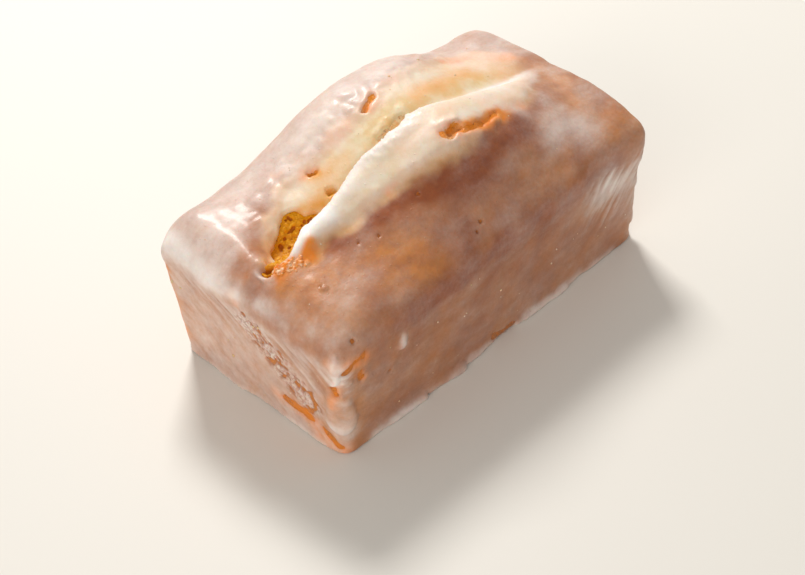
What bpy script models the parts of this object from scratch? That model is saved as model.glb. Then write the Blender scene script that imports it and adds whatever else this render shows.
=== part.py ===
"""Pound cake loaf, baked in a small rectangular tin and split along its crown, as one closed solid.

Metres, +Z up. The origin is the middle of the flat base. X runs along the loaf, from the end whose
split gapes open (-X) to the end where it heals over (+X). Y runs across it, and the -Y side is the
lower one: on the +Y side the batter climbed the tin before the crust set.
"""

import math

import bmesh
import bpy

# The tin, which shapes everything below the rim line.
BASE_LENGTH = 0.1456
BASE_WIDTH = 0.0776
RIM_LENGTH = 0.1516
RIM_WIDTH = 0.0836
RIM_HEIGHT = 0.0430
CORNER_RADIUS = 0.0048
BASE_EDGE_RADIUS = 0.0012
WAIST = 0.0004  # how far the walls shrink in at half height as the cake cools

# The crown above the rim line.
CRUST_RISE = 0.0140  # height of the crown's plateau, where the crust held
CREST_RISE = 0.0322  # height of the crown where it burst
CREST_X = 0.0055
CREST_REACH_OPEN = 0.0349  # spread of the burst towards the open end
CREST_REACH_HEALED = 0.0405
HIGH_SIDE_POWER = 4.4  # squareness of the +Y shoulder
LOW_SIDE_POWER = 2.6  # squareness of the plateau's -Y shoulder
LOW_SLOPE_FROM = 0.28  # share of the half width where the burst starts down to -Y
OPEN_END_LENGTH = 0.0130  # how far the open end takes to round up to the plateau
OPEN_END_POWER = 1.7
HEALED_END_POWER = 12.0

# The split, which wanders along the crown.
SPLIT_Y = 0.0004
SPLIT_WANDER = 0.0018
SPLIT_WAVE = 0.125  # length of one wander
SPLIT_WAVE_FROM = -0.065
SPLIT_FROM = -0.068
SPLIT_TO = 0.069
SPLIT_DEPTH = 0.0040
GAPE_X = -0.054  # where it gapes widest
GAPE_REACH = 0.013
GAPE_DEPTH = 0.0040
GAPE_WIDTH = 0.0050
FAR_SLOPE = 0.0070  # width of the slope into the split from +Y
NEAR_SLOPE = 0.0022  # width of the steep slope from -Y
LIP_RISE = 0.0012
LIP_WIDTH = 0.0055
LIP_SETBACK = 0.0065  # from the split to the middle of the raised -Y lip

# Swells and hollows of the crown: (x, y, height, reach).
SWELLS = (
    (0.0680, 0.0360, 0.0012, 0.0075),
    (0.0500, 0.0330, -0.0024, 0.0120),
    (0.0270, 0.0310, 0.0018, 0.0110),
    (-0.0130, 0.0320, 0.0019, 0.0110),
    (-0.0440, 0.0330, -0.0014, 0.0110),
    (-0.0680, 0.0370, 0.0020, 0.0080),
    (0.0120, -0.0240, 0.0010, 0.0140),
    (-0.0400, -0.0250, -0.0010, 0.0140),
)

# The mesh.
CELLS_LONG = 58
CELLS_ACROSS = 42
END_CROWDING = 0.62  # 0 spaces the cuts evenly, 1 would crowd them fully
SPLIT_CROWDING = 0.74
WALL_LEVELS = (0.009, 0.028, 0.08, 0.25, 0.45, 0.65, 0.82, 0.93)  # shares of the rim height

CRUST_COLOUR = (0.60, 0.36, 0.25, 1.0)
CRUST_ROUGHNESS = 0.45
CUBE_SIZE = 2.0


def clear_scene():
    for obj in list(bpy.data.objects):
        bpy.data.objects.remove(obj, do_unlink=True)


def baked_material():
    material = bpy.data.materials.new("glazed_crust")
    material.use_nodes = True
    shader = material.node_tree.nodes["Principled BSDF"]
    shader.inputs["Base Color"].default_value = CRUST_COLOUR
    shader.inputs["Roughness"].default_value = CRUST_ROUGHNESS
    shader.inputs["Metallic"].default_value = 0.0
    return material


def cuts_long():
    """Places of the cuts along the loaf, from -1 to 1, crowded towards both ends."""
    for index in range(1, CELLS_LONG):
        t = 2.0 * index / CELLS_LONG - 1.0
        yield t + END_CROWDING * math.sin(math.pi * t) / math.pi


def cuts_across():
    """Places of the cuts across the loaf, crowded at the split and at both sides."""
    for index in range(1, CELLS_ACROSS):
        t = 2.0 * index / CELLS_ACROSS - 1.0
        yield t - SPLIT_CROWDING * math.sin(2.0 * math.pi * t) / (2.0 * math.pi)


def bell(distance):
    return math.exp(-distance * distance)


def shoulder(offset, power):
    """A superellipse's height at an offset of -1 to 1: 1 in the middle, 0 at the edge."""
    return max(0.0, 1.0 - abs(offset) ** power) ** (1.0 / power)


def step(low, high, value):
    """0 below low, 1 above high, and a smooth ramp between."""
    t = min(1.0, max(0.0, (value - low) / (high - low)))
    return t * t * (3.0 - 2.0 * t)


def split_y(x):
    return SPLIT_Y + SPLIT_WANDER * math.sin(2.0 * math.pi * (x - SPLIT_WAVE_FROM) / SPLIT_WAVE)


def split_height(x, y):
    """How far the split lowers the crown, or its raised lip lifts it."""
    along = step(SPLIT_FROM, SPLIT_FROM + 0.010, x) * step(-SPLIT_TO, -SPLIT_TO + 0.030, -x)
    gape = bell((x - GAPE_X) / GAPE_REACH)
    depth = SPLIT_DEPTH * (1.0 - 0.35 * step(0.0, 0.04, x)) + GAPE_DEPTH * gape
    offset = y - split_y(x)
    flat = GAPE_WIDTH * gape
    if offset > 0.0:
        slope = math.exp(-max(0.0, offset - flat) / FAR_SLOPE)
    else:
        slope = math.exp(offset / NEAR_SLOPE)
    lip = LIP_RISE * bell((offset + LIP_SETBACK) / LIP_WIDTH)
    return along * (lip - depth * slope)


def end_height(u):
    """How much of the crown is left near either end, from 1 down to 0 at the rim line."""
    if u > 0.0:
        return shoulder(u, HEALED_END_POWER)
    to_end = (1.0 + u) * RIM_LENGTH / 2.0
    return shoulder(max(0.0, 1.0 - to_end / OPEN_END_LENGTH), OPEN_END_POWER)


def crown_height(u, v, x, y):
    """Height over the rim line at a place of the box (u, v from -1 to 1), which is at (x, y)."""
    reach = CREST_REACH_OPEN if x < CREST_X else CREST_REACH_HEALED
    burst = (CREST_RISE - CRUST_RISE) * bell((x - CREST_X) / reach)
    if v > 0.0:
        plateau = shoulder(v, HIGH_SIDE_POWER)
        burst *= plateau
    else:
        plateau = shoulder(v, LOW_SIDE_POWER)
        burst *= 1.0 - step(LOW_SLOPE_FROM, 1.0, -v)
    relief = split_height(x, y)
    for swell_x, swell_y, height, spread in SWELLS:
        relief += height * bell((x - swell_x) / spread) * bell((y - swell_y) / spread)
    return (burst + (CRUST_RISE + relief) * plateau) * end_height(u)


def round_corner(x, y, half_length, half_width):
    """Move a point of the rectangle into the same rectangle with round corners."""
    core_x = half_length - CORNER_RADIUS
    core_y = half_width - CORNER_RADIUS
    over_x = (abs(x) - core_x) / CORNER_RADIUS
    over_y = (abs(y) - core_y) / CORNER_RADIUS
    if over_x <= 0.0 or over_y <= 0.0:
        return x, y
    round_x = core_x + CORNER_RADIUS * over_x * math.sqrt(1.0 - over_y * over_y / 2.0)
    round_y = core_y + CORNER_RADIUS * over_y * math.sqrt(1.0 - over_x * over_x / 2.0)
    return math.copysign(round_x, x), math.copysign(round_y, y)


def place(u, v, w):
    """The loaf's point for a point of the box: u and v from -1 to 1, w from 0, the base, to 1."""
    height = w * RIM_HEIGHT
    inset = WAIST * math.sin(math.pi * w)
    if height < BASE_EDGE_RADIUS:
        lean = 1.0 - height / BASE_EDGE_RADIUS
        inset += BASE_EDGE_RADIUS * (1.0 - math.sqrt(1.0 - lean * lean))
    half_length = (BASE_LENGTH + (RIM_LENGTH - BASE_LENGTH) * w) / 2.0 - inset
    half_width = (BASE_WIDTH + (RIM_WIDTH - BASE_WIDTH) * w) / 2.0 - inset
    across = v * half_width + split_y(u * half_length) * (1.0 - abs(v)) ** 2 * (w == 1.0)
    x, y = round_corner(u * half_length, across, half_length, half_width)
    if w == 1.0:
        height += crown_height(u, v, x, y)
    return x, y, height


def cut(shape, position, normal):
    everything = shape.verts[:] + shape.edges[:] + shape.faces[:]
    bmesh.ops.bisect_plane(shape, geom=everything, plane_co=position, plane_no=normal, dist=1e-6)


def loaf():
    shape = bmesh.new()
    bmesh.ops.create_cube(shape, size=CUBE_SIZE)
    for u in cuts_long():
        cut(shape, (u, 0.0, 0.0), (1.0, 0.0, 0.0))
    for v in cuts_across():
        cut(shape, (0.0, v, 0.0), (0.0, 1.0, 0.0))
    base = [face for face in shape.faces if face.normal.z < -0.5]
    bmesh.ops.dissolve_faces(shape, faces=base)
    for level in WALL_LEVELS:
        cut(shape, (0.0, 0.0, CUBE_SIZE * level - 1.0), (0.0, 0.0, 1.0))
    for vert in shape.verts:
        u, v, z = vert.co
        vert.co = place(u, v, (z + 1.0) / CUBE_SIZE)
    bmesh.ops.triangulate(shape, faces=shape.faces[:])
    bmesh.ops.recalc_face_normals(shape, faces=shape.faces[:])
    mesh = bpy.data.meshes.new("pound_cake_loaf")
    shape.to_mesh(mesh)
    shape.free()
    mesh.shade_smooth()
    mesh.set_sharp_from_angle(angle=math.radians(50.0))
    mesh.materials.append(baked_material())
    obj = bpy.data.objects.new("pound_cake_loaf", mesh)
    bpy.context.scene.collection.objects.link(obj)
    return obj


clear_scene()
loaf()
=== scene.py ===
"""Pound cake loaf with a burst, split crown under a thin sugar icing.

The frame gives the loaf's solid. Its facets are smoothed into an even skin, and that skin becomes the
baked crust, the open crumb in the split and the icing over them. Places on the loaf are in millimetres
from the middle of its base: X along it, Y across it, Z up.
"""

import math

import bmesh
import bpy
import numpy as np
from mathutils import Matrix, Vector, noise
from mathutils.bvhtree import BVHTree


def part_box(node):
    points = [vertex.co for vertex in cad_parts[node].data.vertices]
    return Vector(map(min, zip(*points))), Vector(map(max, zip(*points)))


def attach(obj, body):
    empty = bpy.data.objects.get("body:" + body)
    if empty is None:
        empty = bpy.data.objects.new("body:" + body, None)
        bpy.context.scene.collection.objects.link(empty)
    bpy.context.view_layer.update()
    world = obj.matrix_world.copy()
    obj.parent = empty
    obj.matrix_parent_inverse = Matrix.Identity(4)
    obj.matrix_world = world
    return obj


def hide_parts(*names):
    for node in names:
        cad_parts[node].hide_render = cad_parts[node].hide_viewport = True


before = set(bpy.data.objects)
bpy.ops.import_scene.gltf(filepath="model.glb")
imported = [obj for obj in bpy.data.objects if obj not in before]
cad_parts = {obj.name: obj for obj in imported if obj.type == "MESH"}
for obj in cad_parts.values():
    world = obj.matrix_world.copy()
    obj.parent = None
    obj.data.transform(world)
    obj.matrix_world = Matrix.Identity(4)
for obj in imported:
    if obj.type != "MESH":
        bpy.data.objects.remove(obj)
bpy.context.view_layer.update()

MM = 0.001
LOAF = "pound_cake_loaf"
HALF_LENGTH, HALF_WIDTH, CREST = np.array(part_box(LOAF)[1]) / MM
RIM = 43.0  # height of the tin's rim, where the straight walls end

ICING_THICKNESS = 0.45
MOUTH_DEPTH = 3.6  # how far the crust is sunk in the mouth of the split
ICING_MOUTH_DEPTH = 2.8
CRUMB_DEPTH = 2.4  # how far the crumb block lies under the crust
HIDDEN_DEPTH = 0.5  # how far the icing is sunk under the crust where it is missing
OUTSIDE = -9.0  # the depth, in millimetres, that stands for well outside a mark

# How far apart the points of each skin are.
CRUST_SPACING = 0.85
ICING_SPACING = 0.70
CRUMB_SPACING = 0.32
TORN_SPACING = 0.16

# The block of the loaf that holds the open crumb, from its low corner to its high one.
CRUMB_LOW = (-72.0, -10.0, 46.0)
CRUMB_HIGH = (-32.0, 18.0, 70.0)

# Stations along the burst, where the crown tore open:
# (x, y of the +Y torn edge, y of the crevice, y of the -Y torn edge, rise of the lip, extra depth).
BURST = (
    (-71.0, -2.0, -3.6, -5.0, 0.0, 0.0),
    (-66.0, 0.5, -4.6, -7.0, 0.0, 0.6),
    (-61.0, 4.0, -5.8, -8.4, 0.0, 0.8),
    (-57.0, 8.0, -5.0, -9.2, 1.5, 0.9),
    (-51.0, 12.0, -2.8, -9.4, 2.3, 1.0),
    (-45.0, 15.0, -2.0, -9.6, 2.3, 1.2),
    (-39.0, 18.0, -2.2, -10.4, 2.1, 1.4),
    (-32.0, 17.0, -0.8, -11.8, 1.9, 1.5),
    (-20.0, 16.0, 0.6, -14.2, 1.6, 1.4),
    (-8.0, 15.0, -1.6, -17.4, 1.4, 1.4),
    (0.0, 15.0, -1.0, -18.4, 1.1, 1.2),
    (10.0, 18.0, 0.8, -17.8, 0.5, 0.4),
    (27.0, 20.0, 1.0, -15.8, 0.3, 0.3),
    (43.0, 24.0, 2.0, -12.0, 0.3, 0.3),
    (57.0, 22.0, 2.8, -6.0, 0.2, 0.3),
    (64.0, 13.0, 2.4, -2.0, 0.1, 0.2),
    (71.0, 3.0, 1.7, 0.0, 0.0, 0.0),
)

# Lines on the loaf: (place, place, radius) or (place, place, radius, amount). A pit is (place, radius).
# A place is a wall and two coordinates on it.
OPEN_CRUMB = (
    (("top", -67.0, -3.2), ("top", -61.0, -2.4), 2.0),
    (("top", -61.0, -1.6), ("top", -54.0, 2.0), 3.5),
    (("top", -54.0, 2.2), ("top", -49.0, 4.6), 4.4),
    (("top", -49.0, 4.8), ("top", -44.8, 7.4), 4.6),
    (("top", -45.6, 6.6), ("top", -41.0, 2.4), 3.6),
)
HOLES = (
    (("top", -66.6, -2.4), ("top", -65.4, -3.2), 1.3),
    (("top", -67.8, -4.6), ("top", -67.4, -4.8), 0.7),
    (("top", -31.0, 5.0), ("top", -29.8, 4.8), 1.0),
    (("top", -29.9, 15.2), ("top", -28.6, 14.2), 0.9),
    (("top", -4.2, 14.2), ("top", 1.8, 16.6), 0.9),
    (("top", 4.0, -15.8), ("top", 7.4, -15.8), 1.5),
)
BARE = (
    (("top", -8.0, 3.4), ("top", -3.4, 3.0), 1.2),
    (("top", -3.4, 3.0), ("top", 2.4, 3.7), 1.4),
    (("top", 1.0, -15.4), ("top", 3.6, -16.6), 0.8),
    (("top", 6.0, -17.0), ("top", 16.0, -17.6), 0.7),
    (("top", 16.0, -17.6), ("top", 25.0, -16.8), 0.5),
    (("side", -71.6, 39.4), ("side", -69.6, 40.2), 1.5),
    (("side", -68.0, 41.0), ("side", -63.4, 41.4), 0.9),
    (("side", -65.4, 34.2), ("side", -64.2, 31.6), 0.8),
    (("end", -38.4, 32.5), ("end", -38.6, 29.0), 0.7),
    (("end", -13.0, 10.4), ("end", -24.0, 9.2), 1.7),
    (("end", -31.0, 7.4), ("end", -36.0, 3.4), 1.5),
    (("side", -2.0, 3.4), ("side", 8.0, 1.2), 1.6),
    (("back", -14.0, 2.8), ("back", 2.0, 1.4), 1.4),
    (("back", 52.0, 30.0), ("back", 57.0, 33.0), 0.8),
    (("far", -22.0, 8.0), ("far", -12.0, 9.6), 0.9),
    (("far", 37.0, 30.0), ("far", 37.6, 25.0), 0.8),
)
PITS = (
    (("top", -16.7, -21.0), 0.7),
    (("top", -4.3, -35.9), 0.8),
    (("top", -7.2, -37.3), 0.6),
    (("top", -41.0, -17.9), 0.6),
    (("top", -34.6, -20.8), 0.6),
    (("top", -66.5, -40.0), 0.9),
    (("side", -52.4, 25.7), 0.7),
    (("top", -61.4, -22.0), 0.5),
    (("top", 30.0, 31.0), 0.6),
    (("back", -24.0, 31.0), 0.7),
    (("back", 33.0, 19.0), 0.6),
    (("far", 10.0, 30.0), 0.7),
)

# Thick icing that ran and dripped, from its thin start to its full end.
RUNS = (
    (("end", -39.0, 46.0), ("end", -39.6, 40.0), 1.6, 0.9),
    (("end", -39.6, 40.0), ("end", -39.2, 36.4), 1.3, 1.1),
    (("end", -39.2, 36.2), ("side", -70.6, 34.0), 1.3, 0.9),
    (("end", -38.0, 30.0), ("end", -38.0, 15.4), 5.8, 1.7),
    (("side", -45.8, 37.8), ("side", -46.8, 34.4), 2.2, 1.2),
    (("side", -33.0, 1.2), ("side", -20.0, 1.4), 3.0, 1.5),
    (("side", -60.0, 0.8), ("side", -38.0, 0.8), 2.2, 1.1),
    (("side", 14.0, 0.8), ("side", 34.0, 0.8), 2.2, 0.9),
    (("end", 22.0, 0.8), ("end", 10.0, 0.8), 1.6, 0.7),
    (("back", -46.0, 40.0), ("back", -47.5, 24.0), 2.4, 0.9),
    (("back", -38.0, 41.0), ("back", -38.5, 32.0), 1.7, 0.7),
    (("back", 14.0, 40.0), ("back", 15.0, 18.0), 2.2, 0.9),
    (("back", 44.0, 1.2), ("back", 56.0, 1.2), 2.2, 0.8),
    (("far", 18.0, 40.0), ("far", 19.0, 27.0), 2.0, 0.8),
    (("far", -36.5, 24.0), ("far", -37.0, 9.0), 3.0, 1.1),
    (("top", -62.0, -23.6), ("top", -61.6, -23.2), 1.5, 0.9),
    (("top", -57.6, -12.2), ("top", -57.0, -11.8), 1.2, 0.7),
    (("top", -68.6, -0.6), ("top", -69.2, -4.6), 1.2, 0.8),
    (("top", -69.2, -4.6), ("top", -67.2, -7.2), 1.1, 0.7),
)

# Where the icing is fuller over a wide, soft area.
FULL = (
    (("top", 7.0, -19.2), ("top", 24.0, -18.6), 1.2, 0.7),
    (("top", 2.0, -13.4), ("top", 9.0, -12.8), 1.3, 0.7),
    (("top", -54.6, -10.6), ("top", -53.2, -9.8), 1.9, 1.0),
    (("top", -62.6, -9.4), ("top", -61.8, -9.0), 1.5, 0.6),
    (("end", 35.0, 47.4), ("end", 8.0, 47.4), 4.6, 1.4),
    (("end", 8.0, 47.0), ("end", -24.0, 46.0), 5.0, 0.6),
    (("top", -24.0, 26.0), ("top", -6.0, 26.0), 4.0, 0.5),
    (("top", 4.0, 24.0), ("top", 16.0, 27.0), 5.0, 0.4),
    (("top", 36.0, 30.0), ("top", 60.0, 30.0), 6.0, 0.4),
)

# Tones of the crust under the icing; the dark crust lines below also hold painted shade.
GOLDEN = (
    (("top", -38.0, -25.0), ("top", -28.0, -29.0), 5.5, 0.9),
    (("top", -44.0, -35.0), ("top", -28.0, -38.0), 4.0, 0.8),
    (("top", -56.0, -16.0), ("top", -50.0, -24.0), 6.0, 0.7),
    (("top", -66.0, -30.0), ("top", -62.0, -36.0), 6.0, 0.8),
    (("top", -68.0, -14.0), ("top", -60.0, -20.0), 5.0, 0.8),
    (("top", -72.0, -26.0), ("top", -70.0, -14.0), 4.0, 0.6),
    (("top", 60.0, -36.0), ("top", 70.0, -36.0), 6.0, 0.7),
    (("top", 18.0, -36.0), ("top", 34.0, -38.0), 6.0, 0.4),
    (("top", 60.0, -24.0), ("top", 66.0, -6.0), 7.0, 0.7),
    (("end", 37.0, 40.0), ("end", 38.0, 6.0), 3.0, 1.0),
    (("end", 20.0, 22.0), ("end", -36.0, 16.0), 16.0, 0.35),
    (("side", -70.0, 36.0), ("side", -68.0, 12.0), 9.0, 0.7),
    (("end", -4.0, 34.0), ("end", -24.0, 18.0), 6.0, 0.7),
    (("back", -66.0, 30.0), ("back", -58.0, 8.0), 9.0, 0.6),
    (("back", 0.0, 14.0), ("back", 30.0, 10.0), 8.0, 0.5),
    (("far", -30.0, 30.0), ("far", -34.0, 8.0), 8.0, 0.6),
    (("far", 10.0, 12.0), ("far", 30.0, 16.0), 7.0, 0.4),
)
# Where the crumb shines yellow through the icing or stands in a hole.
AMBER = (
    (("top", -42.0, 9.0), ("top", -36.0, 4.6), 2.6, 0.8),
    (("top", -36.0, 8.0), ("top", -28.0, 8.6), 3.4, 0.35),
    (("top", -31.0, 5.0), ("top", -29.8, 4.8), 1.9, 1.0),
    (("top", -29.6, 14.0), ("top", -28.0, 12.6), 1.9, 0.8),
    (("top", -8.0, 3.4), ("top", 2.4, 3.4), 1.6, 0.35),
    (("top", 0.0, 15.8), ("top", 1.8, 16.6), 1.2, 0.7),
    (("top", 6.6, -14.8), ("top", 8.0, -14.6), 1.0, 0.6),
    (("top", 22.0, 8.0), ("top", 44.0, 12.0), 5.0, 0.35),
    (("top", -68.0, -4.8), ("top", -67.4, -4.8), 1.2, 1.0),
)
PEACH = (
    (("top", -40.0, 8.0), ("top", -20.0, 10.0), 4.0, 0.5),
    (("top", 14.0, 8.0), ("top", 48.0, 14.0), 5.0, 0.9),
    (("top", -10.0, -10.0), ("top", 8.0, -8.0), 4.0, 0.7),
    (("top", 12.0, -6.0), ("top", 30.0, -4.0), 4.0, 0.5),
    (("top", 24.0, -12.0), ("top", 40.0, -10.0), 3.0, 0.8),
    (("top", -30.0, 24.0), ("top", -10.0, 24.0), 5.0, 0.4),
)
ORANGE = (
    (("top", -31.0, 16.5), ("top", -27.5, 13.5), 2.4, 0.9),
    (("top", -36.8, 25.0), ("top", -35.6, 24.2), 1.8, 0.7),
    (("top", -17.0, 17.0), ("top", -13.0, 15.6), 2.4, 0.7),
    (("top", -4.0, 13.8), ("top", 2.0, 17.0), 2.6, 0.9),
    (("top", 10.0, 18.4), ("top", 13.0, 18.0), 1.8, 0.7),
    (("top", 42.0, 22.0), ("top", 54.0, 22.0), 3.4, 0.9),
    (("top", 58.0, 17.0), ("top", 64.0, 12.0), 2.8, 0.9),
    (("top", 1.0, -15.4), ("top", 7.8, -15.6), 3.0, 1.0),
    (("top", 7.0, -17.0), ("top", 26.0, -16.6), 2.4, 1.0),
    (("top", 26.0, -17.0), ("top", 38.0, -15.8), 2.2, 0.7),
    (("top", -21.6, -15.0), ("top", -20.8, -14.4), 1.4, 0.7),
    (("top", -67.0, -6.4), ("top", -58.0, -9.2), 2.0, 1.0),
    (("top", -54.6, -10.6), ("top", -53.2, -9.8), 2.6, 1.0),
    (("top", -66.0, -8.0), ("top", -57.0, -11.0), 3.0, 0.8),
    (("end", 39.8, 42.0), ("end", 39.8, 6.0), 2.8, 0.8),
    (("end", 24.0, 20.0), ("end", 4.0, 14.0), 7.0, 0.12),
    (("side", -72.0, 41.5), ("side", -64.0, 40.6), 2.6, 1.0),
    (("side", -66.0, 35.0), ("side", -64.2, 31.0), 1.8, 0.9),
    (("end", -37.6, 43.2), ("end", -38.6, 42.4), 1.6, 0.9),
    (("end", -39.0, 34.0), ("end", -38.0, 24.0), 1.8, 0.7),
    (("end", -10.0, 10.4), ("end", -26.0, 9.0), 3.0, 0.8),
    (("end", -28.0, 4.0), ("end", -39.0, 3.0), 3.4, 0.8),
    (("end", 3.0, 46.4), ("end", 1.0, 45.0), 2.0, 0.8),
    (("back", -16.0, 3.0), ("back", 4.0, 1.8), 2.8, 0.9),
    (("back", 51.0, 29.5), ("back", 58.0, 33.5), 2.2, 0.8),
    (("back", 71.0, 36.0), ("back", 71.0, 12.0), 2.2, 0.6),
    (("far", -24.0, 8.0), ("far", -10.0, 9.8), 2.6, 0.8),
    (("far", 37.0, 32.0), ("far", 37.6, 22.0), 2.0, 0.8),
)
# Dark crust. The lines beyond the -Y torn edge are partly the crust's own colour and partly painted shade
# of the slope turning away from the light; the lines along the top of the -Y wall are painted shade in the
# crease under the crown.
BROWN_AND_SHADE = (
    (("top", -50.0, -11.5), ("top", -30.0, -15.5), 4.0, 0.9),
    (("top", -30.0, -15.5), ("top", -14.0, -20.5), 4.5, 1.0),
    (("top", -14.0, -21.0), ("top", 0.0, -25.0), 6.0, 1.0),
    (("top", 0.0, -25.0), ("top", 30.0, -22.0), 6.0, 1.0),
    (("top", 30.0, -22.0), ("top", 52.0, -15.0), 5.0, 0.6),
    (("side", -50.0, 44.0), ("side", 0.0, 44.0), 4.0, 0.8),
    (("side", 0.0, 44.0), ("side", 58.0, 44.0), 4.5, 0.9),
    (("top", -14.0, -38.0), ("top", -10.0, -34.0), 4.0, 0.7),
    (("side", -38.0, 44.0), ("side", -20.0, 44.0), 5.0, 0.6),
    (("top", -66.0, -15.0), ("top", -63.0, -18.0), 4.0, 0.35),
    (("back", -30.0, 36.0), ("back", 6.0, 28.0), 6.0, 0.5),
    (("far", -8.0, 38.0), ("far", 8.0, 34.0), 6.0, 0.5),
    (("side", -8.0, 36.0), ("side", 24.0, 36.0), 6.0, 0.4),
)
TONES = {"golden": GOLDEN, "amber": AMBER, "peach": PEACH, "orange": ORANGE, "brown_and_shade": BROWN_AND_SHADE}

# Where the icing clouds the crust over, and where it lies thin enough to show it. A few of these lines also
# carry painted highlight and painted shade, marked below.
CLOUDED = (
    (("top", -66.0, 30.0), ("top", -36.0, 32.0), 12.0, 0.10),
    (("top", -20.0, 26.0), ("top", 20.0, 28.0), 10.0, 0.22),
    (("top", -66.0, 10.0), ("top", -58.0, 14.0), 6.0, 0.10),
    (("top", -60.0, -30.0), ("top", -50.0, -28.0), 5.0, 0.14),
    (("top", -72.0, -30.0), ("top", -66.0, -39.0), 5.0, 0.20),
    (("side", 54.0, 38.0), ("side", 62.0, 34.0), 5.0, 0.15),
    (("side", -72.0, 30.0), ("side", -56.0, 22.0), 8.0, 0.06),
    # The lip by the opening: white icing, strengthened as painted highlight on its shaded face.
    (("top", -56.0, -6.0), ("top", -40.0, -5.4), 3.2, 0.55),
    (("top", -72.0, -18.0), ("top", -72.0, -28.0), 3.0, 0.10),
    (("side", -60.0, 0.8), ("side", 60.0, 0.8), 2.4, 0.50),
    (("back", -66.0, 0.8), ("back", 66.0, 0.8), 1.8, 0.35),
    (("far", -34.0, 0.8), ("far", 34.0, 0.8), 1.6, 0.30),
    (("end", -30.0, 0.8), ("end", 34.0, 0.8), 1.6, 0.25),
    # The shoulder of the near end: thick icing at the rim, and a painted highlight along it.
    (("end", 36.0, 49.0), ("end", 2.0, 47.4), 3.4, 0.45),
    (("end", 2.0, 47.4), ("end", -20.0, 46.4), 3.0, 0.25),
    (("top", 38.0, -28.0), ("top", 50.0, -20.0), 7.0, 0.35),
    (("top", 52.0, -32.0), ("top", 66.0, -24.0), 7.0, 0.30),
    (("side", 50.0, 34.0), ("side", 68.0, 30.0), 8.0, 0.42),
    (("end", -39.0, 46.0), ("end", -39.4, 36.0), 2.0, 0.35),
    (("end", -36.0, 13.0), ("side", -68.0, 10.0), 3.0, 0.30),
    (("side", -45.8, 37.8), ("side", -46.8, 34.4), 1.9, 0.45),
    (("top", 30.0, -4.0), ("top", 46.0, -1.0), 5.0, 0.30),
    (("top", -36.0, 8.0), ("top", -16.0, 7.0), 3.0, 0.20),
    (("top", -68.8, -1.0), ("top", -68.8, -7.0), 1.6, 0.40),
)
CLEAR = (
    (("top", -38.0, -27.0), ("top", -27.0, -36.0), 8.0, 0.15),
    # The next two lines thin the veil beyond the -Y torn edge, so the dark crust there shows as part of the
    # painted shade.
    (("top", -50.0, -12.0), ("top", -28.0, -17.0), 4.0, 0.15),
    (("top", -14.0, -22.0), ("top", 20.0, -24.0), 6.0, 0.15),
    (("top", -42.0, 9.0), ("top", -34.0, 7.0), 4.0, 0.30),
    (("top", -60.0, 11.0), ("top", -52.0, 17.0), 5.0, 0.30),
    (("top", -67.0, -14.0), ("top", -61.0, -20.0), 5.0, 0.12),
    (("top", -31.0, 15.0), ("top", -28.0, 12.0), 2.4, 0.40),
    (("end", 38.0, 40.0), ("end", 39.0, 6.0), 3.0, 0.25),
    (("top", -54.6, -10.6), ("top", -53.2, -9.8), 2.2, 0.90),
    (("top", -66.0, -8.0), ("top", -57.0, -11.0), 2.6, 0.40),
    # This line too thins the veil beyond the -Y torn edge, for the painted shade.
    (("top", -30.0, -17.5), ("top", -16.0, -21.5), 3.0, 0.15),
    (("top", 6.0, -16.2), ("top", 26.0, -16.6), 1.8, 0.60),
    (("top", 0.0, 4.0), ("top", 40.0, 10.0), 5.0, 0.25),
    (("top", -24.0, 10.0), ("top", 8.0, 9.0), 5.0, 0.20),
    (("end", -38.0, 30.0), ("end", -38.4, 18.0), 4.0, 0.30),
    (("end", -12.0, 10.0), ("end", -30.0, 10.0), 5.0, 0.10),
    (("end", 37.0, 40.0), ("end", 38.0, 6.0), 3.0, 0.25),
    (("top", 50.0, -18.0), ("top", 68.0, -30.0), 5.0, 0.10),
)

# Crumbs torn from the crust lie about this line, as (x, y), and beads of icing in these parts of each wall.
TORN_LINE = ((-66.5, -7.2), (-63.0, -8.8), (-60.5, -9.8), (-58.0, -10.8))
TORN_CRUMBS = 80
BEADS_PER_WALL = 22
BEAD_WALLS = (
    ("side", (-70.0, 70.0), (3.0, 40.0)),
    ("top", (-70.0, 68.0), (-38.0, 36.0)),
    ("end", (-38.0, 38.0), (3.0, 42.0)),
    ("back", (-70.0, 70.0), (3.0, 40.0)),
    ("far", (-38.0, 38.0), (3.0, 42.0)),
)

# Random numbers on a grid, which every ripple is read from.
LATTICE_SIZE = 48
LATTICE = np.random.default_rng(3).uniform(-1.0, 1.0, (LATTICE_SIZE,) * 3)


# ---- numbers over the loaf ------------------------------------------------------------------------

def ramp(low, high, value):
    """0 at low, 1 at high, and a smooth rise between. Low may be the greater number."""
    share = np.clip((value - low) / (high - low), 0.0, 1.0)
    return share * share * (3.0 - 2.0 * share)


def ripple(points, size, seed):
    """Smooth random numbers from -1 to 1 that change over about `size` millimetres."""
    scaled = points / size + np.array((17.3, 5.1, 9.7)) * seed
    cell = np.floor(scaled).astype(int)
    share = scaled - cell
    share = share * share * (3.0 - 2.0 * share)
    total = np.zeros(len(points))
    for corner in np.ndindex(2, 2, 2):
        part = np.where(corner, share, 1.0 - share)
        across, along, up = ((cell + corner) % LATTICE_SIZE).T
        total += part[:, 0] * part[:, 1] * part[:, 2] * LATTICE[across, along, up]
    return total


def layered(points, size, seed, layers=3):
    """Ripples of several sizes, each half as wide and half as high as the one before."""
    return sum(ripple(points, size / 2 ** n, seed + 7 * n) / 2 ** n for n in range(layers))


def pebbles(points, size):
    """0 in the middle of each random cell of about `size` millimetres and 1 at its edges."""
    cells = [noise.voronoi(Vector(point))[0][:2] for point in points / size]
    return np.array([min(1.0, near / max(far, 1e-6)) for near, far in cells])


# ---- the guide ------------------------------------------------------------------------------------

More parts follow.
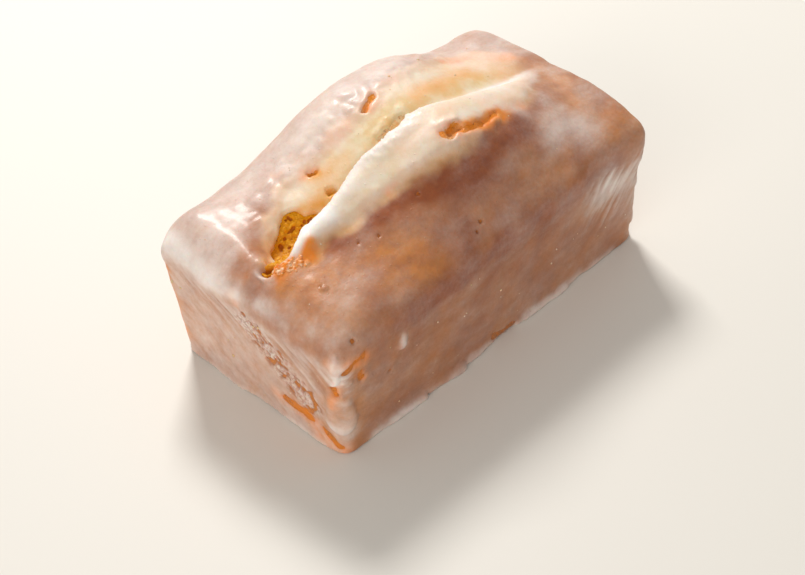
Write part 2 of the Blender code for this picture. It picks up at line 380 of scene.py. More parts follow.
def link(obj):
    bpy.context.scene.collection.objects.link(obj)
    return obj


def mesh_of(shape, name):
    mesh = bpy.data.meshes.new(name)
    shape.to_mesh(mesh)
    return mesh


def tree_of(points, mesh):
    """The mesh's faces as a tree, which finds where a ray meets them."""
    faces = [tuple(face.vertices) for face in mesh.polygons]
    return BVHTree.FromPolygons([Vector(point) for point in points], faces)


def quad_solid():
    """The frame's solid with its flat triangles joined into quads."""
    solid = bmesh.new()
    solid.from_mesh(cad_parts[LOAF].data)
    bmesh.ops.remove_doubles(solid, verts=solid.verts[:], dist=0.01 * MM)
    bmesh.ops.join_triangles(
        solid,
        faces=solid.faces[:],
        angle_face_threshold=math.radians(30.0),
        angle_shape_threshold=math.radians(50.0),
    )
    return solid


def evaluated_mesh(obj, name):
    graph = bpy.context.evaluated_depsgraph_get()
    mesh = bpy.data.meshes.new_from_object(obj.evaluated_get(graph), depsgraph=graph)
    mesh.name = name
    bpy.data.objects.remove(obj, do_unlink=True)
    return mesh


def even_quads(obj, spacing):
    """One closed mesh of even quads around everything in the object, which it uses up."""
    even = obj.modifiers.new("even_quads", "REMESH")
    even.mode = "VOXEL"
    even.voxel_size = spacing * MM
    return evaluated_mesh(obj, obj.name)


def even_skin(solid, spacing, name):
    """The solid's surface with its facets rounded off, as even quads `spacing` millimetres wide."""
    obj = link(bpy.data.objects.new(name, mesh_of(solid, name)))
    rounded = obj.modifiers.new("round_facets", "SUBSURF")
    rounded.levels = rounded.render_levels = 2
    return even_quads(obj, spacing)


def read(items, key):
    values = np.empty(len(items) * 3, np.float32)
    items.foreach_get(key, values)
    return values.reshape(-1, 3).astype(float)


class Skin:
    """A mesh whose points are moved as arrays, in millimetres."""

    def __init__(self, mesh):
        self.mesh = mesh
        self.points = read(mesh.vertices, "co") / MM
        pairs = np.empty(len(mesh.edges) * 2, np.int32)
        mesh.edges.foreach_get("vertices", pairs)
        self.pairs = pairs.reshape(-1, 2)
        self.degree = np.bincount(pairs, minlength=len(self.points))[:, None]

    def relax(self, rounds, share=0.5):
        """Smooth the skin by moving each point towards the middle of its neighbours."""
        first, second = self.pairs.T
        for _ in range(rounds):
            total = np.zeros_like(self.points)
            for axis in range(3):
                column = self.points[:, axis]
                total[:, axis] += np.bincount(first, column[second], len(column))
                total[:, axis] += np.bincount(second, column[first], len(column))
            self.points += share * (total / self.degree - self.points)

    def normals(self):
        self.store()
        return read(self.mesh.vertices, "normal")

    def push(self, height):
        """Move every point outwards by its height, keeping the base flat."""
        self.points += self.normals() * height[:, None]
        self.points[:, 2] = np.maximum(self.points[:, 2], 0.0)

    def store(self):
        self.mesh.vertices.foreach_set("co", (self.points * MM).astype(np.float32).ravel())
        self.mesh.update()

    def paint(self, name, values):
        layer = self.mesh.attributes.new(name, "FLOAT", "POINT")
        layer.data.foreach_set("value", values.astype(np.float32))


guide_solid = quad_solid()
guide = Skin(even_skin(guide_solid, CRUST_SPACING, "baked_crust"))
guide.relax(6)
guide.store()
guide_tree = tree_of(guide.points, guide.mesh)

# For each wall, where a ray at two coordinates starts and which way it goes.
RAYS = {
    "top": lambda a, b: ((a, b, CREST + 20.0), (0, 0, -1)),
    "side": lambda a, b: ((a, -HALF_WIDTH - 1.0, b), (0, 1, 0)),
    "back": lambda a, b: ((a, HALF_WIDTH + 1.0, b), (0, -1, 0)),
    "end": lambda a, b: ((-HALF_LENGTH - 1.0, a, b), (1, 0, 0)),
    "far": lambda a, b: ((HALF_LENGTH + 1.0, a, b), (-1, 0, 0)),
}


def spot(place):
    """The point of the loaf's surface at a place: a wall's name and two coordinates on it."""
    wall, a, b = place
    start, way = RAYS[wall](a, b)
    hit = guide_tree.ray_cast(Vector(start), Vector(way))[0]
    if hit is None:  # just past a corner
        hit = guide_tree.find_nearest(Vector(start))[0]
    return np.array(hit)


def beside_line(points, first, last):
    """How far along the line between two places each point is, from 0 to 1, and how far from it."""
    start, end = spot(first), spot(last)
    along = end - start
    share = np.clip((points - start) @ along / max(along @ along, 1e-9), 0.0, 1.0)
    return share, np.linalg.norm(points - start - share[:, None] * along, axis=1)


def from_line(points, first, last):
    return beside_line(points, first, last)[1]


def wandering(points, amount, size):
    """The points moved about a little, so that a shape drawn on them is uneven."""
    moves = [amount * layered(points, size, seed, 2) for seed in (61, 62, 63)]
    return points + np.stack(moves, axis=1)


def run_height(points, first, last, radius, height):
    """Height of a run of icing: a low dome that starts thin and narrow and ends full."""
    share, distance = beside_line(points, first, last)
    across = np.clip(distance / (radius * (0.55 + 0.45 * share)), 0.0, 1.0)
    return height * (0.3 + 0.7 * share) * np.sqrt(1.0 - across**2) * (1.0 - 0.3 * across**4)


class Coat:
    """Heights, gaps and tones at each point of a smooth skin of the loaf."""

    def __init__(self, points):
        self.points = points
        self.uneven = wandering(points, 0.7, 4.0)
        self.patchy = wandering(points, 1.6, 7.0)
        self.measure_burst()

    def measure_burst(self):
        """Work out where each point lies between the torn edges and beside the crevice."""
        points = self.points
        stations = np.array(BURST).T
        edge, crevice, low_edge, self.lip, self.depth = (
            sum(
                share * np.interp(points[:, 0] + shift, stations[0], column)
                for shift, share in ((-2.5, 0.25), (0.0, 0.5), (2.5, 0.25))
            )
            for column in stations[1:]
        )
        self.crown = ramp(RIM + 2.0, RIM + 6.0, points[:, 2])
        self.side = points[:, 1] - crevice + 0.6 * layered(points, 6.0, 8, 3)
        ragged = 1.0 * ripple(points, 6.0, 3) + 0.6 * ripple(points, 2.4, 4)
        on_crown = self.crown > 0.0
        self.from_high_edge = np.where(on_crown, edge - points[:, 1] + ragged, OUTSIDE)
        self.from_low_edge = np.where(on_crown, points[:, 1] - low_edge + ragged, OUTSIDE)
        self.inside = np.minimum(self.from_high_edge, self.from_low_edge)

    def depth_inside(self, lines):
        """Millimetres inside the nearest of the lines, negative outside them."""
        deepest = np.full(len(self.points), OUTSIDE)
        for first, last, radius in lines:
            deepest = np.maximum(deepest, radius - from_line(self.uneven, first, last))
        return deepest

    def marks(self, lines):
        """Sum of soft marks along the lines."""
        total = np.zeros(len(self.points))
        for first, last, radius, strength in lines:
            total += strength * np.exp(-((from_line(self.patchy, first, last) / radius) ** 2))
        return total

    def spread(self, lines):
        return np.clip(self.marks(lines), 0.0, 1.0)

    def burst_relief(self):
        """The lip stands over the crevice on its -Y side, and the dough swells beyond it. On the +Y
        side the torn crust stands over the dough."""
        side = self.side
        soft = ramp(2.0, 24.0, self.points[:, 0])  # towards the far end the lip fades to a swell
        rise = ramp(-0.1, -2.0 - 5.0 * soft, side)
        nose = self.lip * rise * np.exp(-((np.minimum(side + 2.2, 0.0) / 4.2) ** 2))
        crevice = -self.depth * ramp(-1.6, -0.2, side) * ramp(6.0, 0.2, side)
        begun = ramp(-69.0, -58.0, self.points[:, 0])
        low_swell = (1.5 - 0.8 * soft) * ramp(-2.4, 2.4, self.from_low_edge) * rise * begun
        flap = 0.30 * np.exp(-(((self.from_high_edge + 1.6) / 2.4) ** 2))
        flap -= 0.35 * ramp(-2.0, 3.0, self.from_high_edge) * ramp(-1.0, 2.0, side)
        flap *= ramp(64.0, 40.0, self.points[:, 0])
        return (nose + crevice + low_swell + flap) * self.crown

    def pulled_icing(self):
        """Sharp small ridges that the icing was pulled into along the lip and across the crevice."""
        along = self.points @ (0.87, -0.49, 0.0)
        across = self.points @ (0.49, 0.87, 0.0)
        stretched = np.stack([along / 5.0, across, self.points[:, 2] / 3.0], axis=1)
        ridges = 1.0 - np.abs(ripple(stretched, 1.7, 91) + 0.4 * ripple(self.points, 1.2, 92))
        place = ramp(-26.0, -18.0, self.points[:, 0]) * ramp(14.0, 2.0, self.points[:, 0])
        place = place * ramp(-8.0, -2.5, self.side) * ramp(1.2, -0.6, self.side)
        beyond = ramp(4.5, 6.0, self.side) * ramp(9.5, 7.0, self.side)
        beyond = 0.7 * beyond * ramp(-14.0, -8.0, self.points[:, 0])
        place = place + beyond * ramp(8.0, 3.0, self.points[:, 0])
        return 0.8 * ridges**3 * place * self.crown

    def crust_relief(self):
        """Height of the crust over the smooth solid: lumps, the burst, and the holes in it."""
        points = self.points
        lumps = 0.45 * layered(points, 14.0, 11) * ramp(2.0, 14.0, points[:, 2])
        beside = np.exp(-(((self.from_high_edge + 5.0) / 6.0) ** 2)) * self.crown
        shown = ramp(-66.0, -44.0, points[:, 0]) * ramp(60.0, 30.0, points[:, 0])
        flank = 0.75 * np.abs(layered(points, 5.5, 15, 2)) * beside * shown
        return lumps + self.burst_relief() + self.marks(FULL) + flank - 1.5 * self.holes()

    def holes(self):
        """1 in the small holes of the crown."""
        return ramp(-0.6, 0.8, self.depth_inside(HOLES))

    def mouth(self):
        """0 where the crust is whole and 1 inside the mouth of the split."""
        return ramp(-1.0, 1.4, self.depth_inside(OPEN_CRUMB))

    def streaks(self):
        """Ridges in the icing where it ran over the ends, the back and the far part of the -Y wall."""
        points = self.points
        along = points @ (0.0, 0.77, 0.64)
        across = points @ (0.0, -0.64, 0.77)
        below_rim = ramp(RIM + 2.0, RIM - 4.0, points[:, 2])
        on_end = ramp(HALF_LENGTH - 9.0, HALF_LENGTH - 4.0, np.abs(points[:, 0])) * below_rim
        on_back = ramp(HALF_WIDTH - 8.0, HALF_WIDTH - 4.0, points[:, 1]) * below_rim
        stretched = np.stack([along / 9.0, across, points[:, 0] / 4.0], axis=1)
        ridges = ripple(stretched, 1.5, 71) + 0.5 * ripple(stretched, 0.8, 72)
        on_far = ramp(36.0, 56.0, points[:, 0])
        on_far = on_far * ramp(-HALF_WIDTH + 6.0, -HALF_WIDTH + 3.0, points[:, 1])
        on_far = on_far * ramp(12.0, 24.0, points[:, 2]) * ramp(RIM + 1.0, RIM - 3.0, points[:, 2])
        slanting = points @ (0.6, 0.0, 0.8) / 7.0
        fan = np.stack([slanting, points @ (-0.8, 0.0, 0.6), points[:, 1]], axis=1)
        creases = ripple(fan, 1.8, 73) + 0.5 * ripple(fan, 0.9, 74)
        sagging = points @ (0.96, 0.0, 0.28)
        runs = ripple(np.stack([sagging, points[:, 1] / 4.0, points[:, 2] / 9.0], axis=1), 1.9, 75)
        near_rim = 0.3 + 0.7 * ramp(26.0, 36.0, points @ (0.0, -0.2, 1.0))
        return 0.7 * ridges * on_end * near_rim + creases * on_far + 0.6 * runs * on_back

    def pore_band(self):
        """1 in the slanting band of the near end where the crumb shows through, 0 away from it."""
        line = (("end", -2.0, 37.0), ("end", -25.0, 18.0), 5.5)
        return ramp(-3.0, 2.0, self.depth_inside((line,)))

    def pores(self):
        """1 in the pores of that band, which the icing has sunk into."""
        points = self.points
        stretched = np.stack(
            [points @ (0.0, 0.77, 0.64) / 1.5, points @ (0.0, -0.64, 0.77), points[:, 0]], axis=1
        )
        pitted = ripple(stretched, 1.2, 81) + 0.4 * ripple(points, 4.0, 82)
        return ramp(0.15, 0.50, pitted) * self.pore_band()

    def bare(self):
        """0 where the icing covers the crust and 1 where it is missing."""
        opening = ramp(-0.9, 0.5, self.depth_inside(OPEN_CRUMB))
        gaps = np.maximum(self.depth_inside(BARE), self.depth_inside(HOLES))
        gaps = ramp(-0.9, 0.6, gaps + 0.6 * ripple(self.points, 2.0, 6))
        pits = np.zeros(len(self.points))
        for place, radius in PITS:
            distance = np.linalg.norm(self.points - spot(place), axis=1)
            pits = np.maximum(pits, ramp(1.3 * radius, 0.4 * radius, distance))
        return np.maximum(np.maximum(opening, gaps), pits)

    def film(self):
        """Thickness of the icing, below 0 where it is missing."""
        thickness = ICING_THICKNESS + 0.14 * layered(self.points, 10.0, 31)
        thickness = thickness + 0.09 * layered(self.points, 3.4, 32, 2)
        thickness = thickness + 0.3 * self.streaks() + self.pulled_icing()
        runs = np.zeros(len(self.points))
        for first, last, radius, height in RUNS:
            runs = np.maximum(runs, run_height(self.uneven, first, last, radius, height))
        thickness = thickness + runs - 0.75 * self.pores()
        return thickness - (thickness + HIDDEN_DEPTH) * self.bare()

    def foot(self):
        """How far the icing spreads out around the base."""
        level = self.points * (1.0, 1.0, 0.0)
        around = 0.9 + 1.1 * ripple(level, 9.0, 41) + 0.5 * ripple(level, 3.5, 42)
        return np.clip(around, 0.0, 2.8) * np.exp(-((self.points[:, 2] / 1.7) ** 2))

    def veil(self):
        """How white the icing is, from clear at 0 to opaque at 1, with painted highlight on the lip."""
        x, y, z = self.points.T
        on_top = ramp(RIM - 2.0, RIM + 3.0, z)
        hanging = z + 9.0 * ripple(self.points * (1.0, 1.0, 0.3), 8.0, 98)
        past_end = ramp(-HALF_LENGTH + 4.0, -HALF_LENGTH + 9.0, x)
        over_rim = np.maximum(on_top, past_end * ramp(RIM - 24.0, RIM + 4.0, hanging))
        left_flank = ramp(4.0, 14.0, y) * over_rim
        near_end = ramp(-HALF_LENGTH + 9.0, -HALF_LENGTH + 4.0, x) * (1.0 - on_top)
        low_band = ramp(-2.5, 1.0, self.from_low_edge) * ramp(1.0, -1.0, self.side) * self.crown
        low_band = low_band * ramp(-68.0, -60.0, x) * ramp(70.0, 56.0, x)
        lip = np.exp(-(((self.side + 2.2) / 2.6) ** 2)) * self.crown
        lip = lip * ramp(-63.0, -57.0, x) * ramp(68.0, 50.0, x)
        fingers = ramp(-0.3, 0.7, ripple(self.points * (1.0, 0.5, 0.5), 8.0, 95))
        past_edge = np.exp(-((np.minimum(self.from_low_edge, 0.0) / 7.0) ** 2)) * (1.0 - low_band)
        # The lip and the band beside it are white icing, made whiter still as painted highlight on faces
        # turned from the window.
        even = 0.13 + 0.33 * left_flank + 0.28 * near_end + 0.38 * low_band + 0.42 * lip
        even += 0.35 * fingers * past_edge * self.crown * ramp(0.0, -3.0, self.side)
        even += 0.26 * self.streaks() + 0.18 * self.pore_band() - 0.5 * self.pores()
        on_back = ramp(HALF_WIDTH - 9.0, HALF_WIDTH - 4.0, y)
        on_far = ramp(HALF_LENGTH - 9.0, HALF_LENGTH - 4.0, x)
        even += 0.14 * np.maximum(on_back, on_far) * (1.0 - on_top)
        return even + self.spread(CLOUDED) - self.spread(CLEAR)

    def paint(self, skin):
        """Write the tones and the veil on the skin, for its material to read."""
        soft = 2.2 * ripple(self.points, 8.0, 96) + 0.7 * ripple(self.points, 2.5, 97)
        fade = ramp(66.0, 40.0, self.points[:, 0] - 0.6 * self.side)
        fade = fade * ramp(-69.0, -60.0, self.points[:, 0])
        skin.paint("cream", ramp(-5.0, 4.0, self.inside + soft) * fade)
        for name, lines in TONES.items():
            skin.paint(name, self.spread(lines))
        skin.paint("veil", self.veil())
        skin.paint("lace", self.pore_band())


# ---- pieces ---------------------------------------------------------------------------------------

def finish_piece(skin, name, material):
    skin.store()
    skin.mesh.shade_smooth()
    skin.mesh.materials.clear()
    skin.mesh.materials.append(material)
    skin.mesh.name = name
    obj = link(bpy.data.objects.new(name, skin.mesh))
    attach(obj, "root")
    return obj


def baked_crust(material):
    coat = Coat(guide.points.copy())
    guide.push(coat.crust_relief() - MOUTH_DEPTH * coat.mouth())
    coat.paint(guide)
    obj = finish_piece(guide, "baked_crust", material)
    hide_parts(LOAF)
    return obj


def cut_flat(solid, point, outward):
    """Cut away everything past a plane, and close the cut with one flat face."""
    everything = solid.verts[:] + solid.edges[:] + solid.faces[:]
    bmesh.ops.bisect_plane(
        solid, geom=everything, plane_co=Vector(point) * MM, plane_no=outward, clear_outer=True
    )
    rim = [edge for edge in solid.edges if edge.is_boundary]
    bmesh.ops.holes_fill(solid, edges=rim, sides=0)


def plain_base(skin):
    """The skin with one flat face under the loaf, which needs no detail."""
    skin.store()
    shape = bmesh.new()
    shape.from_mesh(skin.mesh)
    cut_flat(shape, (0.0, 0.0, 0.02), (0.0, 0.0, -1.0))
    shape.to_mesh(skin.mesh)
    return Skin(skin.mesh)


def sugar_icing(material):
    skin = Skin(even_skin(guide_solid, ICING_SPACING, "sugar_icing"))
    skin.relax(8)
    coat = Coat(skin.points.copy())
    film = coat.film()
    skin.push(coat.crust_relief() + film - ICING_MOUTH_DEPTH * coat.mouth())
    outward = skin.normals() * (1, 1, 0)
    skin.points += outward * (coat.foot() * (film > 0.0))[:, None]
    coat.paint(skin)
    skin.paint("film", film)
    skin.paint("pore_and_shade", coat.pores())
    return finish_piece(plain_base(skin), "sugar_icing", material)


def open_crumb(material):
    """The open crumb inside the split: a block of the loaf with a torn, porous face."""
    block = guide_solid.copy()
    for axis in range(3):
        for sign, corner in ((-1.0, CRUMB_LOW), (1.0, CRUMB_HIGH)):
            cut_flat(block, corner, [sign if n == axis else 0.0 for n in range(3)])
    whole = link(bpy.data.objects.new("open_crumb", mesh_of(block, "open_crumb")))
    skin = Skin(even_quads(whole, CRUMB_SPACING))
    skin.relax(12)
    points = skin.points.copy()
    coat = Coat(points)
    facing_up = ramp(0.2, 0.5, skin.normals()[:, 2])
    shown = ramp(-1.8, 0.4, coat.depth_inside(OPEN_CRUMB)) * facing_up
    coarse = 1.0 - pebbles(points, 2.0)
    fine = 1.0 - pebbles(points + 50.0, 1.0)
    deep = ramp(0.3, 0.6, ripple(points, 1.2, 51))
    texture = 0.6 * coarse + 0.5 * fine - 0.45 * deep
    skin.push(coat.crust_relief() - CRUMB_DEPTH + shown * (1.5 + texture) - 0.8 * coat.holes())
    # The pits, the gaps between lumps and the holes are marked here for painted shade.
    skin.paint("pore_and_shade", deep + 0.5 * (1.0 - coarse) + coat.holes())
    return finish_piece(skin, "open_crumb", material)


def torn_crumbs(material):
    """Torn crust along the -Y edge of the opening: crumbs stuck together in the icing."""
    rng = np.random.default_rng(5)
    crumbs = bmesh.new()
    along, across = np.array(TORN_LINE).T
    for _ in range(TORN_CRUMBS):
        x = rng.uniform(along[0], along[-1])
        y = np.interp(x, along, across) + rng.normal(0.0, 0.9)
        radius = 0.45 + 0.65 * rng.random() ** 2
        centre = icing_tree.ray_cast(Vector((x, y, CREST + 20.0)), Vector((0, 0, -1)))[0]
        centre.z -= 0.4 * radius
        shape = Matrix.LocRotScale(
            centre * MM,
            Matrix.Rotation(rng.uniform(0.0, 6.28), 3, rng.normal(size=3)).to_quaternion(),
            Vector(rng.uniform(0.75, 1.25, 3)) * radius * MM,
        )
        made = bmesh.ops.create_icosphere(crumbs, subdivisions=3, radius=1.0, matrix=shape)
        for vertex in made["verts"]:
            away = vertex.co - centre * MM
            vertex.co += away * 0.5 * noise.noise(vertex.co / MM * 1.2)
    loose = link(bpy.data.objects.new("torn_crumbs", mesh_of(crumbs, "torn_crumbs")))
    skin = Skin(even_quads(loose, TORN_SPACING))
    skin.relax(4)
    return finish_piece(skin, "torn_crumbs", material)


def icing_beads(material):
    """Small bubbles and beads of icing scattered over the walls and slopes."""
    rng = np.random.default_rng(9)
    beads = bmesh.new()
    places = []
    for _ in range(BEADS_PER_WALL):
        for wall, first_span, second_span in BEAD_WALLS:
            places.append((wall, rng.uniform(*first_span), rng.uniform(*second_span)))
    for wall, first, second in places:
        radius = 0.2 + 0.35 * rng.random() ** 3
        start, way = RAYS[wall](first, second)
        hit, normal, _, _ = icing_tree.ray_cast(Vector(start), Vector(way))
        turn = normal.to_track_quat("Z", "Y")
        shape = Matrix.LocRotScale(hit * MM, turn, Vector((radius, radius, 0.7 * radius)) * MM)
        bmesh.ops.create_icosphere(beads, subdivisions=2, radius=1.0, matrix=shape)
    return finish_piece(Skin(mesh_of(beads, "icing_beads")), "icing_beads", material)


# ---- materials ------------------------------------------------------------------------------------

class Value:
    """A number in a material. Python's operators on it add Math nodes."""

    def __init__(self, finish, socket):
        self.finish = finish
        self.socket = socket

    def maths(self, operation, *others):
        inputs = dict(enumerate((self, *others)))
        return self.finish.node("Math", {"operation": operation}, inputs, "Value")

    def __add__(self, other):
        return self.maths("ADD", other)

    def __mul__(self, other):
        return self.maths("MULTIPLY", other)

    def __sub__(self, other):
        return self.maths("SUBTRACT", other)

    def __rsub__(self, other):
        return self * -1.0 + other

    __radd__ = __add__
    __rmul__ = __mul__

    def between(self, low, high):
        """0 below low and 1 above high."""
        settings = {"interpolation_type": "SMOOTHSTEP"}
        return self.finish.node("MapRange", settings, {0: self, 1: low, 2: high}, "Result")


class Finish:
    """A material built from nodes around one Principled shader."""

    def __init__(self, name, **constants):
        self.material = bpy.data.materials.new(name)
        self.material.use_nodes = True
        self.tree = self.material.node_tree
        self.shader = self.tree.nodes["Principled BSDF"]
        for key, value in constants.items():
            self.shader.inputs[key.replace("_", " ")].default_value = value
        self.place = self.node("TexCoord", {}, {}, "Object")

    def node(self, kind, settings, inputs, output):
        """Add a node, set it up, feed its sockets with numbers or links, and return an output."""
        made = self.tree.nodes.new("ShaderNode" + kind)
        for key, value in settings.items():
            setattr(made, key, value)
        for key, value in inputs.items():
            self.feed(made.inputs[key], value)
        return Value(self, made.outputs[output])

    def feed(self, socket, value):
        if isinstance(value, Value):
            self.tree.links.new(value.socket, socket)
        else:
            socket.default_value = value

    def set(self, key, value):
        self.feed(self.shader.inputs[key], value)

    def layer(self, name):
        """A number painted on the mesh."""
        return self.node("Attribute", {"attribute_name": name}, {}, "Fac")

    def grain(self, size, detail=4.0, roughness=0.55, stretch=(1.0, 1.0, 1.0)):
        """Random numbers around 0.5 that change over about `size` millimetres."""
        mapped = self.node("Mapping", {}, {"Vector": self.place, "Scale": stretch}, "Vector")
        inputs = {"Vector": mapped, "Scale": 1.0 / (size * MM), "Detail": detail, "Roughness": roughness}
        return self.node("TexNoise", {}, inputs, "Fac")

    def spots(self, apart, size):
        """Small dots, one in each cell about `apart` millimetres wide."""
        inputs = {"Vector": self.place, "Scale": 1.0 / (apart * MM)}
        distance = self.node("TexVoronoi", {}, inputs, "Distance")
        return 1.0 - distance.between(0.5 * size, size)

    def mix(self, share, first, second):
        """The first colour at share 0 and the second at 1."""
        settings = {"data_type": "RGBA", "clamp_factor": True}
        return self.node("Mix", settings, {0: share, 6: first, 7: second}, 2)

    def bump(self, height, distance, strength=1.0):
        inputs = {"Height": height, "Distance": distance * MM, "Strength": strength}
        self.set("Normal", self.node("Bump", {}, inputs, "Normal"))


def colour(red, green, blue):
    return (red, green, blue, 1.0)


# Dark crust, used for its specks and for the painted shade beyond the -Y torn edge and in the rim crease.
BROWN_CRUST_AND_SHADE = colour(0.24, 0.05, 0.012)
MAUVE_CRUST = colour(0.34, 0.125, 0.06)
RED_CRUST = colour(0.50, 0.17, 0.09)
GOLDEN_CRUST = colour(0.56, 0.21, 0.045)
ORANGE_CRUST = colour(0.88, 0.25, 0.012)
PEACH_CRUMB = colour(0.86, 0.46, 0.18)
CREAM_CRUMB = colour(0.76, 0.53, 0.25)
PALE_CRUMB = colour(0.80, 0.67, 0.43)
YELLOW_CRUMB = colour(0.74, 0.30, 0.0)
# Crumb darkened as painted shade in its pits and holes.
SHADED_CRUMB = colour(0.44, 0.11, 0.0)
SUGAR = colour(0.90, 0.81, 0.75)
# Whiter than the sugar: for the thickest icing, and as painted highlight on the lip's shaded face.
WHITE_SUGAR_AND_HIGHLIGHT = colour(0.98, 0.94, 0.88)
ROSY_SUGAR = colour(0.74, 0.55, 0.45)
LIT_CRUMB = colour(0.92, 0.50, 0.03)
PINK_CRUMB = colour(0.88, 0.58, 0.36)
FLOOR = colour(0.80, 0.77, 0.71)


def crust_tone(finish):
    """Colour of the crust, from dark crust and painted shade over mauve and gold to orange, and cream in
    the burst.
    """
    patchy = finish.grain(12.0, 4.0).between(0.3, 0.75)
    veined = finish.grain(4.0, 6.0, 0.6).between(0.25, 0.75)
    tone = finish.mix(patchy * 0.45, MAUVE_CRUST, GOLDEN_CRUST)
    # Painted shade beyond the -Y torn edge and in the rim crease, together with the crust's own dark
    # patches.
    tone = finish.mix(finish.layer("brown_and_shade") * 0.9, tone, BROWN_CRUST_AND_SHADE)
    tone = finish.mix(finish.layer("golden") * (veined * 0.7 + 0.35), tone, GOLDEN_CRUST)
    tone = finish.mix(veined * 0.12, tone, ORANGE_CRUST)
    crumb = finish.mix(finish.grain(6.0, 4.0).between(0.35, 0.65), CREAM_CRUMB, PALE_CRUMB)
    cream = finish.layer("cream")
    tone = finish.mix(cream, tone, crumb)
    tone = finish.mix(cream * (1.0 - cream) * 2.2, tone, PEACH_CRUMB)
    tone = finish.mix(finish.layer("peach"), tone, PEACH_CRUMB)
    tone = finish.mix(finish.layer("orange") * (veined * 0.5 + 0.65), tone, ORANGE_CRUST)
    return finish.mix(finish.layer("amber"), tone, YELLOW_CRUMB)


def crust_finish():
    finish = Finish("crust", Roughness=0.36, Specular_IOR_Level=0.25)
    tone = crust_tone(finish)
    pitted = finish.grain(0.9).between(0.42, 0.6)
    specks = finish.grain(1.3, 5.0).between(0.56, 0.68)
    tone = finish.mix(pitted * 0.35, tone, ORANGE_CRUST)
    finish.set("Base Color", finish.mix(specks * 0.5, tone, BROWN_CRUST_AND_SHADE))
    finish.bump(finish.grain(0.9, 6.0), 0.5)
    return finish.material


def crumb_finish():
    finish = Finish("open_crumb", Roughness=0.45, Specular_IOR_Level=0.2)
    pore_and_shade = finish.layer("pore_and_shade").between(0.2, 1.2)
    tone = finish.mix(finish.grain(1.6).between(0.5, 0.75), YELLOW_CRUMB, LIT_CRUMB)
    # Painted shade: the pits, the gaps between the lumps and the holes are darkened.
    finish.set("Base Color", finish.mix(pore_and_shade, tone, SHADED_CRUMB))
    finish.bump(finish.grain(0.5, 6.0), 0.15)
    return finish.material


def torn_finish():
    finish = Finish("torn_crust", Roughness=0.4, Subsurface_Weight=0.2, Subsurface_Scale=0.0015)
    paler = finish.grain(1.8).between(0.4, 0.66)
    finish.set("Base Color", finish.mix(paler, ORANGE_CRUST, PINK_CRUMB))
    finish.bump(finish.grain(0.5, 6.0), 0.12)
    return finish.material


def bead_finish():
    finish = Finish("icing_bead", Roughness=0.25, Subsurface_Weight=0.3, Subsurface_Scale=0.001)
    creamy = finish.grain(8.0).between(0.3, 0.7)
    finish.set("Base Color", finish.mix(creamy, ROSY_SUGAR, CREAM_CRUMB))
    return finish.material


def icing_finish():
    finish = Finish(
        "icing",
        Roughness=0.50,
        Coat_Weight=0.14,
        Coat_Roughness=0.17,
        Subsurface_Weight=0.2,
        Subsurface_Scale=0.0015,
    )
    under = crust_tone(finish)
    # In the icing this layer marks only the pores of the near end, where the crust shows through thin
    # icing.
    under = finish.mix(finish.layer("pore_and_shade"), under, MAUVE_CRUST)
    cloudy = finish.grain(5.0, 4.0, 0.5, (0.42, 1.0, 1.0)) - 0.5
    drifting = finish.grain(15.0, 3.0) - 0.5
    mottled = finish.grain(1.4, 5.0, 0.65) - 0.5
    thick = (finish.layer("film") - ICING_THICKNESS) * 0.16
    cover = finish.layer("veil") + cloudy * 0.42 + drifting * 0.35 + mottled * 0.26 + thick
    tone = finish.mix(cover.between(-0.10, 1.15), under, SUGAR)
    lace = finish.grain(0.8, 3.0, 0.5, (1.0, 0.75, 0.75)).between(0.50, 0.58)
    lace = lace * finish.layer("lace")
    tone = finish.mix(lace * 0.5, tone, RED_CRUST)
    # Past opaque the icing turns whiter still: thick icing, and painted highlight on the lip and the band
    # beside it.
    finish.set("Base Color", finish.mix(cover.between(0.85, 1.5), tone, WHITE_SUGAR_AND_HIGHLIGHT))
    beaded = finish.spots(2.6, 0.16)
    finish.bump(finish.grain(1.6, 5.0) + beaded * 0.5 - lace * 1.2, 0.13)
    return finish.material


# ---- room -----------------------------------------------------------------------------------------

def floor():
    shape = bmesh.new()
    bmesh.ops.create_grid(shape, x_segments=2, y_segments=2, size=3.0)
    obj = link(bpy.data.objects.new("floor", mesh_of(shape, "floor")))
    finish = Finish("pale_floor", Base_Color=FLOOR, Roughness=0.6)
    obj.data.materials.append(finish.material)


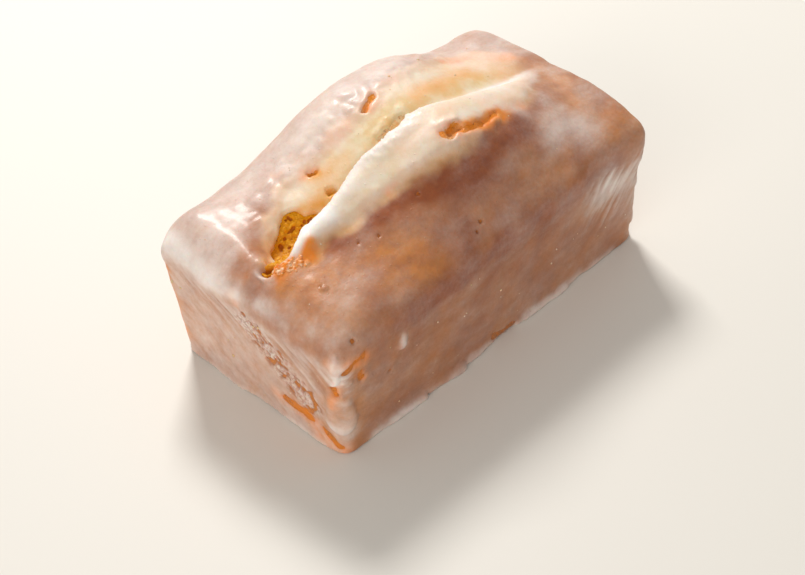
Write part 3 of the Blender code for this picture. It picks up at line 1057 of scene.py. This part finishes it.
def lamp(name, way, distance, size, power, tint):
    """A square soft light that shines on the loaf from the direction `way`."""
    light = bpy.data.lights.new(name, "AREA")
    light.size = size
    light.energy = power
    light.color = tint
    obj = link(bpy.data.objects.new(name, light))
    towards = Vector(way).normalized()
    obj.location = towards * distance + Vector((0.0, 0.0, 0.03))
    obj.rotation_euler = towards.to_track_quat("Z", "Y").to_euler()


def sky(strength, tint):
    world = bpy.data.worlds.new("room")
    world.use_nodes = True
    world.node_tree.nodes["Background"].inputs["Color"].default_value = tint
    world.node_tree.nodes["Background"].inputs["Strength"].default_value = strength
    bpy.context.scene.world = world


def camera(azimuth, elevation, roll, distance, target, lens):
    """A camera that looks at the target from millimetres away; azimuth 0 looks along +Y."""
    data = bpy.data.cameras.new("camera")
    data.lens = lens
    obj = link(bpy.data.objects.new("camera", data))
    turn, lift = math.radians(azimuth), math.radians(elevation)
    back = Vector(
        (math.sin(turn) * math.cos(lift), -math.cos(turn) * math.cos(lift), math.sin(lift))
    )
    aim = back.to_track_quat("Z", "Y") @ Matrix.Rotation(math.radians(roll), 4, "Z").to_quaternion()
    obj.rotation_mode = "QUATERNION"
    obj.rotation_quaternion = aim
    obj.location = (Vector(target) + back * distance) * MM
    data.clip_start = 0.01
    bpy.context.scene.camera = obj


baked_crust(crust_finish())
icing = sugar_icing(icing_finish())
icing_tree = tree_of(read(icing.data.vertices, "co") / MM, icing.data)
open_crumb(crumb_finish())
torn_crumbs(torn_finish())
icing_beads(bead_finish())
floor()
lamp(
    "window",
    way=(0.37, 0.59, 0.72),
    distance=1.2,
    size=0.30,
    power=12.0,
    tint=(1.0, 0.98, 0.95),
)
lamp(
    "front_fill",
    way=(-0.88, -0.32, 0.35),
    distance=1.3,
    size=0.90,
    power=7.0,
    tint=(1.0, 0.97, 0.93),
)
sky(strength=0.42, tint=(1.0, 0.98, 0.95, 1.0))
camera(
    azimuth=-43.37,
    elevation=42.13,
    roll=-3.67,
    distance=603.0,
    target=(-18.6, -13.1, 21.5),
    lens=80.5,
)
bpy.context.scene.view_settings.view_transform = "Standard"
